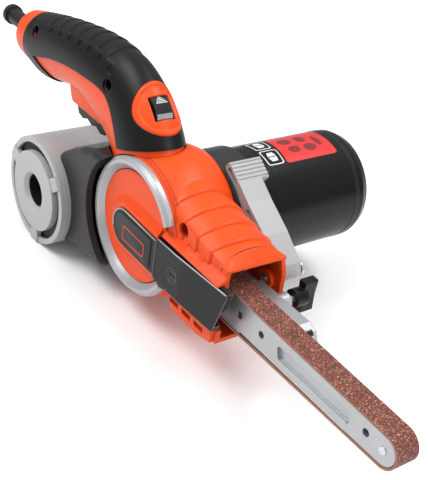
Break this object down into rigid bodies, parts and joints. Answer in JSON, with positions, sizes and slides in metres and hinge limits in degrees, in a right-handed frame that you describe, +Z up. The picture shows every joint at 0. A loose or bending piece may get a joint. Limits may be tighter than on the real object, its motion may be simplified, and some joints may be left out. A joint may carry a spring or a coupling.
{
  "type": "handheld belt sander",
  "caption": "Narrow-belt powerfile sander: curved grip over a round housing, transverse motor, forward sanding arm with belt, tension lever, dust canister.",
  "frame": {"origin": "under the middle of the tool, at the height of its lowest point", "axes": "+X forward along the sanding arm, +Y towards the motor side, +Z up"},
  "size_m": [0.377, 0.1536, 0.1348],
  "materials": {
    "orange_plastic": "satin moulded plastic",
    "black_rubber": "soft matte overmould",
    "black_plastic": "fine grained moulding",
    "dark_grey_plastic": "satin moulding",
    "silver_plastic": "silver lacquer",
    "light_grey_plastic": "light grey moulding",
    "cast_aluminium": "die cast",
    "steel": "turned",
    "black_steel": "blackened",
    "copper": "bare",
    "abrasive_cloth": "red-brown grit on cloth backing",
    "label_red": "printed foil",
    "filter_fabric": "pleated",
    "seal_rubber": "smooth"
  },
  "bodies": {
    "root": {"right_housing": "orange_plastic", "left_housing": "orange_plastic", "ring_trim": "silver_plastic", "door_post": "steel", "housing_screws": "steel", "sanding_belt": "abrasive_cloth", "drive_bearing_inner": "steel", "drive_bearing_outer": "steel", "gear_housing": "dark_grey_plastic", "motor_housing": "black_plastic", "motor_end_cap": "black_plastic", "rating_plate": "label_red", "motor_bearing_front": "steel", "motor_bearing_rear": "steel", "field_stator": "steel", "field_coils": "copper", "carbon_brush_rear": "black_steel", "carbon_brush_front": "black_steel", "brush_holder_rear": "copper", "brush_holder_front": "copper", "lever_pivot_pin": "steel", "dust_duct": "dark_grey_plastic", "handle_shell_right": "orange_plastic", "handle_shell_left": "orange_plastic", "handle_grip": "black_rubber", "dial_bezel": "orange_plastic", "handle_screws": "black_steel", "switch_module": "black_plastic", "speed_module": "dark_grey_plastic", "cord_guard": "seal_rubber", "cord_clamp": "dark_grey_plastic"},
    "door": {"door_panel": "orange_plastic", "belt_cover": "black_plastic"},
    "door_screw": {"cover_screw": "black_steel"},
    "arm": {"sanding_arm": "cast_aluminium", "platen": "steel", "tip_roller_axle": "steel", "tension_spring": "steel"},
    "tip_roller": {"tip_roller": "steel"},
    "drive": {"drive_pulley": "seal_rubber", "drive_shaft": "steel", "pulley_nut": "steel", "driven_gear": "steel"},
    "armature": {"armature_shaft": "steel", "armature_core": "steel", "armature_winding": "copper", "commutator": "copper", "cooling_fan": "black_plastic", "motor_pinion": "steel"},
    "lever": {"tension_lever": "light_grey_plastic"},
    "dust_arm": {"dust_extraction_arm": "cast_aluminium"},
    "knob": {"wing_knob": "black_plastic", "wing_knob_stud": "steel"},
    "canister": {"canister_shell": "light_grey_plastic", "canister_end_cap": "light_grey_plastic", "canister_filter": "filter_fabric", "cyclone_cone": "dark_grey_plastic"},
    "trigger": {"trigger": "black_plastic"},
    "lock_button": {"lock_button": "black_plastic"},
    "speed_dial": {"speed_dial": "black_plastic"}
  },
  "joints": [
    {"name": "door_release", "type": "slide", "parent": "root", "child": "door", "axis": [0, -1, 0], "range_m": [0, 0.03]},
    {"name": "cover_screw_turn", "type": "hinge", "parent": "door", "child": "door_screw", "pos_m": [0.03901, -0.0632, 0.0505], "axis": [0, 1, 0], "continuous": true},
    {"name": "armature_spin", "type": "hinge", "parent": "root", "child": "armature", "pos_m": [0.00201, 0.0148, 0.057], "axis": [0, 1, 0], "continuous": true},
    {"name": "drive_spin", "type": "hinge", "parent": "root", "child": "drive", "pos_m": [-0.01499, -0.0452, 0.0482], "axis": [0, 1, 0], "continuous": true},
    {"name": "lever_swing", "type": "hinge", "parent": "root", "child": "lever", "pos_m": [0.06351, -0.0122, 0.0535], "axis": [0, 1, 0], "range_deg": [0, 50]},
    {"name": "arm_retract", "type": "slide", "parent": "root", "child": "arm", "axis": [-1, 0, 0], "range_m": [0, 0.00498]},
    {"name": "tip_roller_spin", "type": "hinge", "parent": "arm", "child": "tip_roller", "pos_m": [0.17969, -0.0452, 0.0482], "axis": [0, 1, 0], "continuous": true},
    {"name": "dust_arm_slide", "type": "slide", "parent": "root", "child": "dust_arm", "axis": [1, 0, 0], "range_m": [0, 0.04]},
    {"name": "wing_knob_turn", "type": "hinge", "parent": "dust_arm", "child": "knob", "pos_m": [0.08001, -0.0132, 0.05], "axis": [0, 1, 0], "continuous": true},
    {"name": "canister_release", "type": "slide", "parent": "root", "child": "canister", "axis": [-1, 0, 0], "range_m": [0, 0.05]},
    {"name": "trigger_squeeze", "type": "slide", "parent": "root", "child": "trigger", "axis": [0, 0, 1], "range_m": [0, 0.004], "stiffness_N_per_m": 900, "springref_m": -0.002},
    {"name": "lock_button_press", "type": "slide", "parent": "root", "child": "lock_button", "axis": [0, -1, 0], "range_m": [0, 0.0025], "stiffness_N_per_m": 600, "springref_m": -0.0015},
    {"name": "speed_dial_turn", "type": "hinge", "parent": "root", "child": "speed_dial", "pos_m": [-0.02049, -0.0452, 0.1091], "axis": [0, 1, 0], "range_deg": [-120, 120]}
  ],
  "couplings": [
    {"joint": "drive_spin", "follows": "armature_spin", "ratio": -0.65217},
    {"joint": "tip_roller_spin", "follows": "armature_spin", "ratio": -0.90668},
    {"joint": "lever_swing", "follows": "arm_retract", "rad_per_m": 175}
  ]
}
